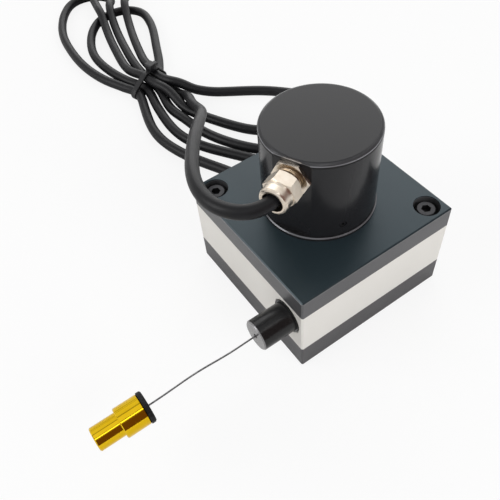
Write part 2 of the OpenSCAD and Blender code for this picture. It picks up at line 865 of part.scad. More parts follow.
module gland_body() {
    color([0.83, 0.8, 0.74])
        at_gland()
            difference() {
                union() {
                    rotate(gland_flange_turn) hex_piece(gland_flange_af, gland_flange_t);
                    translate([0, 0, -gland_stub])
                        cylinder(r = gland_thread_r, h = gland_stub + gland_body_len, $fn = fine);
                }
                translate([0, 0, -gland_stub - 1]) cylinder(r = cable_d / 2, h = gland_tip_z, $fn = fine);
                translate([0, 0, gland_tip_z - seal_len]) cylinder(r = seal_r, h = seal_len, $fn = fine);
            }
}

module gland_seal() {
    color([0.1, 0.1, 0.1]) at_gland() ring(seal_r, cable_d / 2, seal_len, gland_tip_z - seal_len);
}

module gland_nut() {
    tip_r = gland_tip_d / 2;
    dome = [
        [0, 0], [gland_nut_af / 2 - 0.1, 0], [tip_r, 0.9], [tip_r, gland_tip_len - 0.8],
        [tip_r - 0.25, gland_tip_len - 0.25], [tip_r - 0.8, gland_tip_len], [0, gland_tip_len]
    ];
    color([0.83, 0.8, 0.74])
        at_gland()
            difference() {
                union() {
                    translate([0, 0, gland_nut_z]) rotate(gland_nut_turn)
                        hex_piece(gland_nut_af, gland_nut_len, 0.5);
                    translate([0, 0, gland_tip_z]) rotate_extrude($fn = fine) polygon(dome);
                }
                translate([0, 0, gland_nut_z - 1])
                    cylinder(r = gland_thread_r + thread_gap, h = gland_nut_len + 1, $fn = fine);
                translate([0, 0, gland_nut_z])
                    cylinder(r = gland_mouth_r, h = gland_nut_len + gland_tip_len + 1, $fn = fine);
            }
}

// ---- Cable ----

module cable_lead() {
    color([0.12, 0.12, 0.13]) tube(lead_route, cable_d / 2, lead_sides);
}

module cable_hank() {
    color([0.12, 0.12, 0.13])
        linear_extrude(hank_h)
            difference() {
                offset(r = hank_round, $fn = 16) polygon(hank_outline);
                polygon(hank_gap);
            }
}

module cable_tie() {
    color([0.05, 0.05, 0.05])
        translate([tie_pos[0], tie_pos[1], 0]) rotate(tie_angle) {
            difference() {
                translate([-tie_w / 2, -tie_half - tie_band, 0])
                    cube([tie_w, 2 * (tie_half + tie_band), hank_h + 2 * tie_band]);
                translate([-tie_w / 2 - 1, -tie_half, tie_band]) cube([tie_w + 2, 2 * tie_half, hank_h]);
            }
            translate([-tie_head[0] / 2, 2, hank_h + 2 * tie_band]) cube(tie_head);
        }
}

module cable_cores() {
    color([0.75, 0.2, 0.15])
        translate(tail_end) rotate(tail_heading)
            for (a = core_fan)
                rotate(a) translate([core_start, 0, 0]) rotate([0, 90, 0])
                    cylinder(r = core_r, h = core_len, $fn = 16);
}

base_plate();
housing_frame();
top_plate();
housing_screws();
base_screws();
wire_nozzle();
nozzle_guide_bush();
dust_wiper();
spring_case();
spring_case_cover();
power_spring();
lower_bearing_outer_ring();
lower_bearing_balls();
lower_bearing_inner_ring();
upper_bearing_outer_ring();
upper_bearing_balls();
upper_bearing_inner_ring();
drum_shaft();
spring_arbor();
wire_drum();
drum_set_screws();
wire_winding();
draw_wire();
stop_buffer();
wire_end_fitting();
wire_ferrule();
encoder_flange();
flange_screws();
encoder_shaft();
encoder_bearing_outer_rings();
encoder_bearing_balls();
encoder_bearing_inner_rings();
disc_hub();
code_disc();
sensor_head();
circuit_board();
board_posts();
board_screws();
board_socket();
cap_gasket();
encoder_cap();
cap_screws();
gland_body();
gland_seal();
gland_nut();
cable_lead();
cable_hank();
cable_tie();
cable_cores();
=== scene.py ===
# Looks of a draw wire encoder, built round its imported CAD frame. Metres, +Z up; the wire
# leaves along -Y and the origin is the centre of the base plate's underside.
import math

import bpy
import numpy as np
from mathutils import Matrix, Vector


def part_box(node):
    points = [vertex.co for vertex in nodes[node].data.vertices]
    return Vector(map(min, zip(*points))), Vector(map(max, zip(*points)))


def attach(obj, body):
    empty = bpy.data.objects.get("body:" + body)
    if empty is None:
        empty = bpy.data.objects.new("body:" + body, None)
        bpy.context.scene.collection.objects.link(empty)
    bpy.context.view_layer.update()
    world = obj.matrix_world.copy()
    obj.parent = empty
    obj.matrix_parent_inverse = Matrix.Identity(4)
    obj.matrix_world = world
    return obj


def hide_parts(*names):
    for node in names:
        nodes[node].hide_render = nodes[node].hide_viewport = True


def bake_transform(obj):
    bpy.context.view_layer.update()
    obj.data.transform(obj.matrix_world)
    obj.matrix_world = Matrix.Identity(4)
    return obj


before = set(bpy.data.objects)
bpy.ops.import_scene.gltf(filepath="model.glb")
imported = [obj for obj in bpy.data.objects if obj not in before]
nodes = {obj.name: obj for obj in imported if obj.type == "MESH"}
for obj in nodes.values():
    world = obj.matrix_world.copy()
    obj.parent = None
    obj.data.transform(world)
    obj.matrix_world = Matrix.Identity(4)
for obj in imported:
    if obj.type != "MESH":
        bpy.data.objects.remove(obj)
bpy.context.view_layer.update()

MM = 0.001

# ---- Camera, floor and lamps ----
# A hand-held camera looks down on the front corner from its right. The object stands on a
# white sheet between three soft boxes and under a strip light, in a pale room.


def tint(red, green, blue):
    """A colour, 0 to 255 a channel, as the linear light that a shader reads. The
    curve between them is straight near black and a power of 2.4 above that."""
    share = np.array([red, green, blue]) / 255
    linear = np.where(share <= 0.04045, share / 12.92, ((share + 0.055) / 1.055) ** 2.4)
    return (*linear.tolist(), 1.0)


class Value:
    """A number or colour that varies: one output in a node tree. Arithmetic on a number, with
    plain numbers or with other values, adds the Math node that does it."""

    def __init__(self, shading, socket):
        self.shading, self.socket = shading, socket

    def math(self, operation, first, second=0.0):
        """The result of a new Math node."""
        return self.shading.node("Math", {"operation": operation}, {0: first, 1: second})

    def __add__(self, other):
        return self.math("ADD", self, other)

    def __sub__(self, other):
        return self.math("SUBTRACT", self, other)

    def __rsub__(self, other):
        return self.math("SUBTRACT", other, self)

    def __mul__(self, other):
        return self.math("MULTIPLY", self, other)

    __radd__ = __add__
    __rmul__ = __mul__

    def beside(self, other):
        """The distance whose two legs are this value and another."""
        return self.math("SQRT", self * self + other * other)

    def angle(self, across):
        """The angle whose tangent is this value over another, in radians."""
        return self.math("ARCTAN2", self, across)

    def wave(self):
        """The sine of the value, from -1 to 1."""
        return self.math("SINE", self)

    def ramp(self, low, high):
        """0 below low, 1 above high, and an even S-curve between them."""
        inputs = {"Value": self, "From Min": low, "From Max": high}
        return self.shading.node("MapRange", {"interpolation_type": "SMOOTHSTEP"}, inputs)


class Shading:
    """A node tree. node() makes every node in it, from its type, its settings and the values
    or links of its sockets."""

    def __init__(self, tree):
        self.tree = tree

    def feed(self, inputs, node):
        """Sets a node's sockets, or links them to values."""
        for key, value in inputs.items():
            if isinstance(value, Value):
                self.tree.links.new(value.socket, node.inputs[key])
            else:
                node.inputs[key].default_value = value

    def node(self, kind, settings=None, inputs=None, out=0):
        """A new node's output. A colour ramp's greys are one of its settings."""
        made = self.tree.nodes.new("ShaderNode" + kind)
        for key, value in (settings or {}).items():
            if key == "greys":
                self.grade(made.color_ramp.elements, value)
            else:
                setattr(made, key, value)
        self.feed(inputs or {}, made)
        return Value(self, made.outputs[out])

    def grade(self, stops, greys):
        """Gives a colour ramp its stops, each a place and a grey. The first stands at 0 and the
        last at 1, where a new ramp already has one."""
        for place, _ in greys[1:-1]:
            stops.new(place)
        for stop, (_, grey) in zip(stops, greys):
            stop.color = (grey, grey, grey, 1)

    def parts(self, vector):
        """The three components of a vector."""
        first = self.node("SeparateXYZ", inputs={"Vector": vector})
        return [Value(self, socket) for socket in first.socket.node.outputs]

    def mixed(self, share, first, second):
        """One colour fading into another."""
        inputs = {0: share, 6: first, 7: second}
        return self.node("Mix", {"data_type": "RGBA"}, inputs, out=2)


class Finish(Shading):
    """One material: a shader whose constants are set on its own sockets."""

    def __init__(self, name, colour, roughness, **constants):
        self.material = bpy.data.materials.new(name)
        self.material.use_nodes = True
        super().__init__(self.material.node_tree)
        self.shader = self.tree.nodes["Principled BSDF"]
        self.vary({"Base Color": colour, "Roughness": roughness, **constants})

    def vary(self, inputs):
        """Sets or links the shader's own sockets."""
        self.feed(inputs, self.shader)

    def at(self, stretch=(1, 1, 1), centre=(0, 0, 0), turn=(0, 0, 0), source="Object"):
        """The surface's own coordinates less a centre, turned and then stretched."""
        place = self.node("TexCoord", out=source)
        middle = self.node("VectorMath", {"operation": "SUBTRACT"}, {0: place, 1: centre})
        turned = self.node("Mapping", inputs={"Vector": middle, "Rotation": turn})
        return self.node("VectorMath", {"operation": "MULTIPLY"}, {0: turned, 1: stretch})

    def noise(self, vector, scale=1.0, detail=3.0, roughness=0.5):
        """Cloudy noise, about 0.5 on average."""
        inputs = {"Vector": vector, "Scale": scale, "Detail": detail, "Roughness": roughness}
        return self.node("TexNoise", {"noise_dimensions": "3D"}, inputs)

    def line(self, distance, scale):
        """Noise that varies only with one distance, as tool marks do."""
        along = self.node("CombineXYZ", inputs={"X": distance * scale})
        return self.noise(along, 1.0, 4.0, 0.7)

    def relief(self, height, depth):
        """Dents and ridges of about that depth in metres, as seen in the shading."""
        self.vary({"Normal": self.node("Bump", inputs={"Height": height, "Distance": depth})})

    def on(self, *names):
        """Coats the named CAD nodes with this finish."""
        for name in names:
            nodes[name].data.materials.clear()
            nodes[name].data.materials.append(self.material)


def unit(vectors):
    """Each row over its own length."""
    return vectors / np.linalg.norm(vectors, axis=-1, keepdims=True)


def look(thing, position, target):
    """Puts a lamp at its position and turns its -Z axis to a target. Its sides lie level, or
    nearly so, because an axis a little off the vertical also serves a lamp overhead."""
    nearly_up = (0.02, 0.01, 1)
    back = unit(np.array(position, float) - target)
    right = unit(np.cross(nearly_up, back))
    turn = np.eye(4)
    turn[:3, :3] = np.stack([right, np.cross(back, right), back], 1)
    turn[:3, 3] = position
    thing.matrix_world = Matrix(turn.tolist())


def add(name, data):
    """A new object in the scene."""
    made = bpy.data.objects.new(name, data)
    bpy.context.scene.collection.objects.link(made)
    return made


def soft_box(name, position, target, width, height, watts):
    """A rectangular area lamp facing a target."""
    lamp = bpy.data.lights.new(name, "AREA")
    lamp.shape, lamp.size, lamp.size_y, lamp.energy = "RECTANGLE", width, height, watts
    box = add(name, lamp)
    look(box, position, target)
    return box


centre = (-0.01, -0.01, 0.03)
soft_box("back_box", (-0.71, 0.58, 0.5), centre, 1.0, 1.0, 4.8)
soft_box("left_box", (-0.35, -0.8, 0.6), centre, 0.6, 0.6, 4.4)
soft_box("strip_box", (0.43, 0, 0.93), centre, 1.3, 0.08, 1.0)
soft_box("right_box", (0.85, 0.15, 0.5), centre, 0.6, 0.6, 5.2).visible_glossy = False

# The room lights the object evenly from low down and less from above. In its mirror finishes
# the room is pale with a few dim beams round it, but dark and brown to the camera's right.
# The height of a direction is 0 when level and 1 straight up.
world = bpy.data.worlds.new("pale_room")
world.use_nodes = True
bpy.context.scene.world = world
room = Shading(world.node_tree)
direction = room.node("TexCoord", out="Generated")
height = room.parts(direction)[2]
walls_to, walls_light, ceiling_from, ceiling_light = 0.25, 0.556, 0.9, 0.156
light = room.node("MapRange", inputs={
    "Value": height, "From Min": walls_to, "To Min": walls_light,
    "From Max": ceiling_from, "To Max": ceiling_light,
})
# each stop is a height and the grey there
beams = [
    (0, 0.85), (0.3, 0.85), (0.33, 0.35), (0.38, 0.35), (0.41, 0.9), (0.52, 0.95), (0.54, 0.4),
    (0.57, 0.4), (0.59, 0.9), (0.915, 0.85), (0.93, 0.35), (0.955, 0.35), (0.97, 1.0), (1, 0.95)
]
pale_side = room.node("ValToRGB", {"greys": beams}, {0: height})
dark_side, dark_from, dark_to = (0.93, 0.31, 0.2), 0.6, 0.7
brown, paper_white = (0.15, 0.07, 0.055, 1), (0.9, 0.9, 0.9, 1)
rightward = room.node(
    "VectorMath", {"operation": "DOT_PRODUCT"}, {0: direction, 1: dark_side}, out="Value"
)
darker = room.node("MapRange", inputs={"Value": rightward, "From Min": dark_from, "From Max": dark_to})
glossy = room.node("LightPath", out="Is Glossy Ray")
seen = glossy.math("MAXIMUM", glossy, room.node("LightPath", out="Is Camera Ray"))
room.feed({
    "Color": room.mixed(glossy, paper_white, room.mixed(darker, pale_side, brown)),
    "Strength": room.node("Mix", {"data_type": "FLOAT"}, {0: seen, 2: light, 3: 1.0}),
}, world.node_tree.nodes["Background"])

sheet_half, sheet_drop, glow_share = 6.0, 0.2 * MM, 0.85
sheet_mesh = bpy.data.meshes.new("floor_sheet")
corners = np.array([(-1, -1, 0), (1, -1, 0), (1, 1, 0), (-1, 1, 0)]) * sheet_half - (0, 0, sheet_drop)
sheet_mesh.from_pydata(corners.tolist(), [], [(0, 1, 2, 3)])
floor = add("floor_sheet", sheet_mesh)
paper = Finish("white_paper", paper_white, 0.9)
glow = paper.node("Emission", inputs={"Color": (1, 1, 1, 1), "Strength": 1.0})
evened = paper.node("MixShader", inputs={
    0: paper.node("LightPath", out="Is Camera Ray") * glow_share,
    1: Value(paper, paper.shader.outputs[0]), 2: glow,
})
paper.feed({"Surface": evened}, paper.tree.nodes["Material Output"])
sheet_mesh.materials.append(paper.material)

azimuth, elevation, roll = np.radians([60.12, 51.605, -6.346])
back = np.array([
    math.sin(azimuth) * math.cos(elevation),
    -math.cos(azimuth) * math.cos(elevation),
    math.sin(elevation),
])
level_right = np.array([math.cos(azimuth), math.sin(azimuth), 0])
level_up = np.cross(back, level_right)
right = math.cos(roll) * level_right + math.sin(roll) * level_up
up = math.cos(roll) * level_up - math.sin(roll) * level_right
aim, distance = np.array([-7.458, -25.289, 21.333]) * MM, 218.09 * MM
pose = np.eye(4)
pose[:3] = np.stack([right, up, back, aim + distance * back], 1)
lens = bpy.data.cameras.new("camera")
lens.lens, lens.sensor_width, lens.clip_start = 42.99, 36, 0.01
camera = add("camera", lens)
camera.matrix_world = Matrix(pose.tolist())
bpy.context.scene.camera = camera
bpy.context.scene.view_settings.view_transform = "Standard"

# ---- Signal cable ----
# A 4.8 mm cable with a matt dark grey PVC jacket. It turns sharply out of the gland, drops to
# the table and lies in two bunches of loops, one on each side of a cable tie. Its points are
# listed, and the line then settles.


def surface(name, grid, finish, loop=False, uv_size=None):
    """A mesh through a grid of points, rows by columns: each square between four neighbours is
    one face. The columns join round. The rows do so too where looped, and otherwise lids close
    the first and the last. The UV map runs from 0 to uv_size, in metres, along the rows and the
    columns."""
    rows, columns = grid.shape[:2]
    bands = rows if loop else rows - 1
    row, column = np.meshgrid(np.arange(bands), np.arange(columns), indexing="ij")
    next_row, next_column = (row + 1) % rows, (column + 1) % columns
    squares = np.stack([
        row * columns + column, row * columns + next_column,
        next_row * columns + next_column, next_row * columns + column,
    ], -1).reshape(-1, 4)
    faces = squares.tolist()
    if not loop:
        faces += [list(range(columns))[::-1], list(range((rows - 1) * columns, rows * columns))]
    mesh = bpy.data.meshes.new(name)
    mesh.from_pydata(grid.reshape(-1, 3).tolist(), [], faces)
    mesh.polygons.foreach_set("use_smooth", [i < len(squares) for i in range(len(faces))])
    if uv_size:
        along = np.stack([row, row, row + 1, row + 1], -1) * uv_size[0] / bands
        across = np.stack([column, column + 1, column + 1, column], -1) * uv_size[1] / columns
        uv = np.zeros(len(mesh.loops) * 2, np.float32)
        uv[: squares.size * 2] = np.stack([along, across], -1).reshape(-1)
        mesh.uv_layers.new(name="UVMap").data.foreach_set("uv", uv)
    mesh.update()
    mesh.materials.append(finish.material)
    return add(name, mesh)


def carry(path, profile, start=(0, 0, 1)):
    """Carries a flat profile along a path: at each point it stands square to the path, and its
    side axis turns as little as possible from the one before it. Profile points are (side, up),
    one set for the whole path or one for each of its points."""
    heading = unit(np.gradient(path, axis=0))
    side = np.empty_like(path)
    last = np.cross(start, heading[0])
    for i, ahead in enumerate(heading):
        last = last - ahead * (last @ ahead)
        last = last / math.sqrt(last @ last)
        side[i] = last
    up = np.cross(heading, side)
    profile = np.broadcast_to(profile, (len(path), *np.shape(profile)[-2:]))
    return path[:, None] + side[:, None] * profile[..., :1] + up[:, None] * profile[..., 1:]


def circle(radius, count):
    """Points round a circle: the cosine and sine of equal steps of angle, times the radius."""
    angle = np.arange(count) * 2 * math.pi / count
    return radius * np.stack([np.cos(angle), np.sin(angle)], 1)


def flow(points, steps):
    """A uniform cubic B-spline along a row of control points: each point is a blend of four
    neighbours by cubic weights. The row is mirrored at its ends, so that it starts and stops
    on its own first and last points."""
    p = np.vstack([2 * points[0] - points[1], points, 2 * points[-1] - points[-2]])
    u = np.linspace(0, 1, steps, endpoint=False)[:, None, None]
    first, second, third, fourth = p[:-3], p[1:-2], p[2:-1], p[3:]
    curve = ((1 - u) ** 3 * first + (3 * u**3 - 6 * u**2 + 4) * second
             + (1 + 3 * u + 3 * u**2 - 3 * u**3) * third + u**3 * fourth) / 6
    return np.vstack([curve.transpose(1, 0, 2).reshape(-1, 3), points[-1]])


def lengths(line):
    """How far along a line each of its points lies: the running sum of the steps between them."""
    return np.append(0, np.cumsum(np.linalg.norm(np.diff(line, axis=0), axis=1)))


def spaced(line, count):
    """Points at even distances along a line, and those distances."""
    run = lengths(line)
    stops = np.linspace(0, run[-1], count)
    return np.stack([np.interp(stops, run, line[:, axis]) for axis in range(3)], 1), stops


def settle(line, firm, still, bend, gap):
    """A cable's line at rest. In each round it sinks by a hair, opens where it bends tighter
    than it may, parts where two stretches lie closer than the gap, and evens its spacing. Each
    point is drawn to where it began, the firm ones hardest, and the still ones stay there."""
    rounds, search_every, search_margin, own_points = 3000, 20, MM, 7
    sink, loose_pull, firm_pull, tiny = 0.004 * MM, 0.004, 0.25, 1e-9
    # the share of each fault that one round mends
    spans, open_share, even_share, calm_share = (2, 3, 4), 0.25, 0.4, 0.05
    part_share, part_boost = 0.3, 1.6
    pull = np.where(firm, firm_pull, loose_pull)[:, None]
    begun, line = line.copy(), line.copy()
    spacing = np.linalg.norm(np.diff(line, axis=0), axis=1).mean()
    order = np.arange(len(line))
    apart = np.abs(order[:, None] - order) > own_points
    for count in range(rounds):
        line[:, 2] -= sink
        line[:, :2] += (begun - line)[:, :2] * pull
        line[firm, 2] += (begun - line)[firm, 2] * firm_pull
        for reach in spans:
            sag = (line[: -2 * reach] + line[2 * reach:]) / 2 - line[reach:-reach]
            depth = np.linalg.norm(sag, axis=1) + tiny
            allowed = bend * (1 - math.cos(reach * spacing / bend))
            move = sag * (np.clip(1 - allowed / depth, 0, 1) * open_share)[:, None]
            line[reach:-reach] += move
            line[: -2 * reach] -= move / 2
            line[2 * reach:] -= move / 2
        if count % search_every == 0:
            square = (line**2).sum(1)
            near = square[:, None] + square - 2 * line @ line.T < (gap + search_margin) ** 2
            one, other = np.nonzero(np.triu(near & apart))
        between = line[one] - line[other]
        distance = np.linalg.norm(between, axis=1) + tiny
        push = between * (np.clip(gap - distance, 0, None) / distance * part_share)[:, None]
        total = np.zeros_like(line)
        np.add.at(total, one, push)
        np.add.at(total, other, -push)
        meets = np.bincount(np.append(one, other), minlength=len(line))
        line += total / np.maximum(meets, 1)[:, None] * part_boost
        for _ in range(2):
            step = np.diff(line, axis=0)
            length = np.linalg.norm(step, axis=1)
            move = step * (even_share * (1 - spacing / length))[:, None]
            line[:-1] += move
            line[1:] -= move
        line[1:-1, 2] += (line[:-2, 2] + line[2:, 2] - 2 * line[1:-1, 2]) * calm_share
        line[:, 2] = np.maximum(line[:, 2], cable_r)
        line[still] = begun[still]
    return line


cable_r = 2.4 * MM
lead = [
    (8.1, -18.2, 65), (10.6, -23.8, 65), (12.5, -28.2, 65), (12.3, -33, 64.9), (9.2, -37.8, 64.6),
    (3.5, -41, 64.2), (-2.5, -41.8, 63.6), (-10, -40.5, 62.6), (-18, -37.3, 60.8), (-29, -31, 57),
    (-40, -24.3, 52), (-51, -17.3, 46), (-62, -10.5, 38.8), (-73, -4, 31), (-84, 2, 23),
    (-95, 6.5, 15.4), (-105, 9, 10)
]
loops = [
    # down on to the other strands and into the tie
    (-113, 10, 8), (-120, 11, 7.2), (-127, 12.5, 5), (-134, 12.5, 3.2), (-140, 11.5, 3.1),
    (-146, 10.5, 3.3),
    # out to the nearest loop and back
    (-153, 14.5, 2.8), (-161, 19, 2.4), (-175, 24.5, 2.4), (-189, 31, 2.4), (-202.5, 35, 2.4),
    (-214.5, 35, 2.4), (-221.5, 28.5, 2.4), (-222.5, 19, 2.4), (-219.5, 10, 2.4), (-213, 2.5, 2.4),
    (-203.5, -3, 2.4), (-192, -7.5, 2.4), (-181.5, -8.5, 2.4), (-169.5, -7.5, 2.4), (-158, -5, 2.4),
    (-148.5, -1.5, 2.8),
    # through the tie, round the small loop beside the housing and back on top
    (-142.5, 1, 3.3), (-134.5, 0.5, 2.8), (-121.5, -3, 2.4), (-110, -4.5, 2.4), (-97, -4.5, 2.4),
    (-84.5, 0.5, 2.4), (-74.5, 7, 2.4), (-64, 13.5, 2.4), (-54, 19.5, 2.4), (-46, 27, 2.4),
    (-44, 39, 2.4), (-50, 50, 2.4), (-60, 53, 2.4), (-67.5, 45.5, 2.4), (-72.5, 34.5, 2.4),
    (-78, 26.5, 2.4), (-84.5, 22, 2.4), (-91, 18.5, 2.4), (-98, 15, 2.4), (-105, 12, 2.4),
    (-111.5, 9, 2.6), (-118, 7.5, 3.6), (-124, 6.5, 5.4), (-130, 5.5, 6.9), (-137, 4, 7.4),
    # over the tie's other strands, out to the farthest loop
    (-144, 3.5, 7.5), (-154, 1.5, 7.2), (-165, 1, 6), (-177, 3, 4.5), (-193, 6.5, 3.4),
    (-205, 9.5, 5.2), (-213, 11, 6.8), (-221, 13, 7.2), (-231, 15, 5.4), (-241, 17, 5.4),
    (-248, 18.5, 7.2), (-255.5, 21.5, 5), (-261, 27, 2.4), (-263, 34, 2.4), (-260.5, 41.5, 2.4),
    (-254, 46, 2.4), (-246, 45.5, 2.4), (-238, 40.5, 3.2),
    # back on top of them
    (-230.5, 34.5, 5.5), (-223, 30, 7.2), (-215, 26.5, 6), (-205, 23, 3), (-193, 19, 2.4),
    (-182.5, 16, 2.4), (-169, 12.5, 2.8), (-158, 10, 5), (-150.5, 8.5, 7),
    # round the large loop beside the housing
    (-145.5, 8, 7.5), (-139, 8, 7.2), (-131.5, 11, 8.4), (-125, 17, 7.4), (-117.5, 26, 3),
    (-109.5, 37, 2.4), (-102.5, 46.5, 2.4), (-95, 53.5, 2.4), (-87.5, 59.5, 2.4), (-78, 67, 2.4),
    (-66, 72, 2.4), (-53, 70, 2.4), (-43.5, 61, 2.4), (-40, 48, 2.4), (-39.5, 34, 2.4),
    (-40.5, 21, 2.4), (-45.5, 10, 2.4), (-55, 4, 2.4), (-65, 0, 2.4),
    # along its near side and into the tie
    (-75, -5, 2.4), (-85.5, -9.5, 2.4), (-99, -13, 2.4), (-111, -13, 2.4), (-123.5, -9.5, 2.4),
    (-134, -6, 2.8),
    # out to the lowest loop
    (-142, -3.5, 3.3), (-150, -7, 2.8), (-162, -13, 2.4), (-176, -16, 2.4), (-189, -17, 2.4),
    (-203.5, -16, 2.4), (-218.5, -14, 2.4), (-232.5, -8.5, 2.4), (-244.5, -1, 2.4),
    (-251.5, 8, 2.4), (-250.5, 18, 2.4), (-245, 26, 2.4), (-237, 27.5, 3.5),
    # back under the tie, to the cable's end
    (-228, 22.5, 6), (-220.5, 19, 7.2), (-211, 15.5, 6), (-199.5, 12, 3), (-185.5, 9, 2.4),
    (-169.5, 6.5, 2.4), (-158, 5, 2.8), (-144.5, 6, 3.3), (-134, 5, 2.8), (-122, 4, 2.4),
    (-108, 4, 2.4), (-97, 5, 2.4), (-86, 8.5, 2.4), (-76, 13.5, 2.4), (-67.5, 19, 2.4),
    (-61, 26, 2.4)
]
tie_at, tie_turn = np.array([-144, 3.5]) * MM, math.radians(197)
tie_along = np.array([math.cos(tie_turn), math.sin(tie_turn)])
bunch_reach, tie_reach = 12 * MM, 2.5 * MM
curve_steps, spacing, end_points = 8, 2 * MM, 6
loosened, tightest, strand_gap = 6 * MM, 6 * cable_r, 5.45 * MM
drawn = flow(np.array(lead + loops) * MM, curve_steps)
drawn, stops = spaced(drawn, round(lengths(drawn)[-1] / spacing) + 1)
from_tie = drawn[:, :2] - tie_at
firm = (np.abs(from_tie @ tie_along) < tie_reach) & (np.linalg.norm(from_tie, axis=1) < bunch_reach)
firm[-end_points:] = True
still = stops < lengths(flow(np.array(lead) * MM, curve_steps))[-1] - loosened
cable_line = flow(settle(drawn, firm, still, tightest, strand_gap)[::2], 4)

jacket = Finish("cable_jacket", tint(24, 24, 26), 0.4, **{"Specular IOR Level": 0.2})
flow_lines = jacket.noise(jacket.at((30, 900, 1), source="UV"), 1.0, 2.0)
grit = jacket.noise(jacket.at(), 2600, 3.0)
scuff = jacket.noise(jacket.at(), 90, 4.0, 0.6).ramp(0.5, 0.72)
jacket.vary({
    "Base Color": jacket.mixed(scuff * 0.4, tint(23, 23, 25), tint(36, 36, 38)),
    "Roughness": grit * 0.12 + 0.34 + scuff * 0.06,
})
jacket.relief(grit * 0.5 + flow_lines * 0.5, 0.00004)

cable = surface("cable", carry(cable_line, circle(cable_r, 20)), jacket,
                uv_size=(lengths(cable_line)[-1], 2 * math.pi * cable_r))
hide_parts("cable_lead", "cable_hank")
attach(cable, "housing")

# ---- Cable cores ----
# Five insulated cores come out of the cable's stripped end. They are cut and stripped in
# their turn, and their strands are tinned.

core_r, tip_r, core_step, core_stagger = 0.6 * MM, 0.36 * MM, 0.62 * MM, 0.75 * MM
core_colours = [(176, 32, 28), (38, 38, 40), (224, 220, 210), (34, 116, 60), (216, 170, 40)]
inside, bare_end, fan_step = 1.2 * MM, 15.8 * MM, math.radians(8)
fan_run, gather_run, drop_run = 6 * MM, 5 * MM, 13 * MM
insulated_to, stripped_from = 18, 16
mouth = cable_line[-1]
last_step = mouth - cable_line[-4]
mouth_heading = math.atan2(last_step[1], last_step[0])
core_pieces = []
tin = Finish("tinned_strands", (0.78, 0.77, 0.74, 1), 0.3, Metallic=1.0)
tin.relief(tin.parts(tin.at((9000, 9000, 1), turn=(0, 0, -mouth_heading)))[1].wave(), 0.00004)
reach = np.linspace(-inside, bare_end, 22)
for i, rgb in enumerate(core_colours):
    insulation = Finish(f"core_{i}", tint(*rgb), 0.42)
    insulation.relief(insulation.noise(insulation.at(), 3000), 0.00002)
    lean = (i - 2) * fan_step
    angle = mouth_heading + lean * np.clip(reach / fan_run, 0, 1)[:, None]
    step = np.hstack([np.cos(angle), np.sin(angle), np.zeros_like(angle)])
    begin = np.array([-math.sin(mouth_heading), math.cos(mouth_heading), 0]) * (i - 2) * core_step
    line = mouth + begin + np.cumsum(step * np.gradient(reach)[:, None], 0) - step[0] * inside
    rise = (core_stagger if i % 2 else -core_stagger) * np.exp(-np.maximum(reach, 0) / gather_run)
    sink = (cable_r - core_r - 0.05 * MM) * np.clip(reach / drop_run, 0, 1) ** 1.5
    line[:, 2] = np.maximum(mouth[2] + rise - sink, core_r + 0.02 * MM)
    core_pieces += [
        surface(f"core_{i}", carry(line[:insulated_to], circle(core_r, 12)), insulation),
        surface(f"core_tip_{i}", carry(line[stripped_from:], circle(tip_r, 10)), tin),
    ]
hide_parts("cable_cores")
for piece in core_pieces:
    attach(piece, "housing")

# ---- Cable tie ----
# A black nylon tie pulled tight round the seven strands of the hank. Its strap runs through
# the head on top of the bunch, and its tail is cut short.

tie_across = np.array([tie_along[1], -tie_along[0]])
ahead_of = (cable_line[:, :2] - tie_at) @ tie_along
beside = (cable_line[:, :2] - tie_at) @ tie_across
crossing = (ahead_of[:-1] * ahead_of[1:] < 0) & (np.abs(beside[:-1]) < bunch_reach)
held = np.stack([beside[:-1], cable_line[:-1, 2]], 1)[crossing]

strap_w, strap_t, strap_gap, strap_round = 3.2 * MM, 0.9 * MM, 0.05 * MM, 0.25 * MM
angle = np.linspace(0, 2 * math.pi, 180, endpoint=False) - math.pi / 2
outward = np.stack([np.cos(angle), np.sin(angle)], 1)
outer = held[np.argmax(outward @ held.T, axis=1)]
band = outer + outward * (cable_r + strap_gap + strap_t / 2)
band[:, 1] = np.maximum(band[:, 1], strap_t / 2)


def rounded(half_side, half_up, radius, count=5):
    """The outline of a rectangle with rounded corners: a quarter circle round each corner's
    middle, turned a right angle further at each of them."""
    turn = np.linspace(0, math.pi / 2, count)
    corner = radius * np.stack([np.cos(turn), np.sin(turn)], 1)
    middle = np.array([half_side - radius, half_up - radius])
    swing = np.array([[0, -1], [1, 0]])
    outline, signs = [], [(1, 1), (-1, 1), (-1, -1), (1, -1)]
    for quarter, sign in enumerate(signs):
        outline.append(middle * sign + corner @ np.linalg.matrix_power(swing, quarter).T)
    return np.vstack(outline)


def upright(flat):
    """Points in the room, from their places across the hank, up, and along it: the tie's own
    place plus each of the three along its axis."""
    axes = np.array([np.append(tie_across, 0), (0, 0, 1), np.append(tie_along, 0)])
    return np.append(tie_at, 0) + flat @ axes


nylon = Finish("black_nylon", tint(22, 22, 24), 0.4, **{"Specular IOR Level": 0.35})
along = nylon.parts(nylon.at(source="UV"))[0]
nylon.relief((along * 5200).wave() * 0.5 + nylon.noise(nylon.at(), 1500) * 0.6, 0.00005)

section = rounded(strap_t / 2, strap_w / 2, strap_round, 3)
strap_grid = np.dstack([
    band[:, None, 0] + outward[:, None, 0] * section[:, 0],
    band[:, None, 1] + outward[:, None, 1] * section[:, 0],
    np.broadcast_to(section[:, 1], (len(band), len(section))),
])
strap_run = 50 * MM
strap = surface("cable_tie_strap", upright(strap_grid), nylon, loop=True,
                uv_size=(strap_run, 2 * strap_w))

